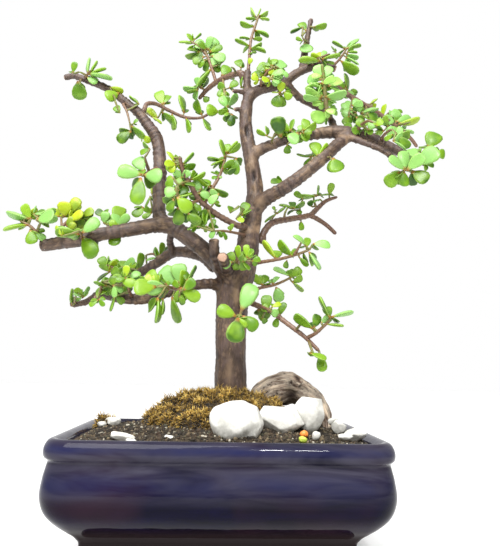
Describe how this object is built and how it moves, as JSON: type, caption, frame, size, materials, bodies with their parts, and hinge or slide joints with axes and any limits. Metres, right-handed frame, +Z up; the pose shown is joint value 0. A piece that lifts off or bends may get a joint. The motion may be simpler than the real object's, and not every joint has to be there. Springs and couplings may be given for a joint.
{
  "type": "crassula bonsai",
  "caption": "Slanting crassula bonsai with long bare limbs and fleshy green leaves, in a dark glazed rectangular pot with soil, moss, white stones and driftwood.",
  "frame": {"origin": "middle of the pot's footprint, at the level that the pot stands on", "axes": "+Z up along the height of the tree, +X along the pot's long side to the viewer's right, +Y away from the viewer, along the pot's short side"},
  "size_m": [0.3693, 0.1956, 0.4805],
  "materials": {
    "glaze": "gloss",
    "soil": "matte",
    "bark": "satin",
    "leaf": "satin",
    "yellow_leaf": "satin",
    "moss": "matte",
    "driftwood": "matte",
    "white_stone": "matte",
    "orange_stone": "satin",
    "lime_stone": "satin"
  },
  "bodies": {
    "root": {"driftwood": "driftwood", "moss_bed": "moss", "moss_clump": "moss", "pebble_lime": "lime_stone", "pebble_orange": "orange_stone", "pot": "glaze", "soil": "soil", "spray_back_right_branch": "leaf", "spray_centre_twig": "leaf", "spray_crown_end_long": "leaf", "spray_crown_end_up": "leaf", "spray_crown_left_branch": "leaf", "spray_crown_right": "leaf", "spray_crown_shoot": "leaf", "spray_crown_under": "leaf", "spray_descending_twig": "leaf", "spray_far_left_cluster": "leaf", "spray_front_cluster": "leaf", "spray_front_round_cluster": "leaf", "spray_gnarl_leaves": "leaf", "spray_green_shoot": "yellow_leaf", "spray_junction_tuft": "leaf", "spray_left_arm_hanging": "leaf", "spray_left_arm_under": "leaf", "spray_left_front_cluster": "leaf", "spray_left_inner_cluster": "leaf", "spray_left_joint_leaves": "leaf", "spray_left_round_cluster": "leaf", "spray_left_tall_cluster": "yellow_leaf", "spray_left_tip": "leaf", "spray_left_tip_under": "leaf", "spray_lower_end_leaves": "leaf", "spray_lower_inner_leaves": "leaf", "spray_lower_right_first": "leaf", "spray_lower_right_round": "leaf", "spray_lower_right_second": "leaf", "spray_lower_right_twig": "leaf", "spray_lower_tip_leaves": "leaf", "spray_lower_upright_leaves": "leaf", "spray_lowest_right_twig": "leaf", "spray_olive_twig": "leaf", "spray_right_limb_end": "leaf", "spray_right_limb_first": "leaf", "spray_right_limb_second": "leaf", "spray_right_limb_top": "leaf", "spray_right_tip_high": "leaf", "spray_right_tip_low": "leaf", "spray_right_twig": "leaf", "spray_stub_leaves_high": "leaf", "spray_stub_leaves_low": "leaf", "spray_trunk_left_leaves": "leaf", "spray_upper_side_twig": "leaf", "stone_back_left": "white_stone", "stone_left_chip": "white_stone", "stone_pointed": "white_stone", "stone_right_flat": "white_stone", "stone_right_small": "white_stone", "stone_round": "white_stone", "stone_upright": "white_stone", "tree_wood": "bark"}
  },
  "joints": []
}
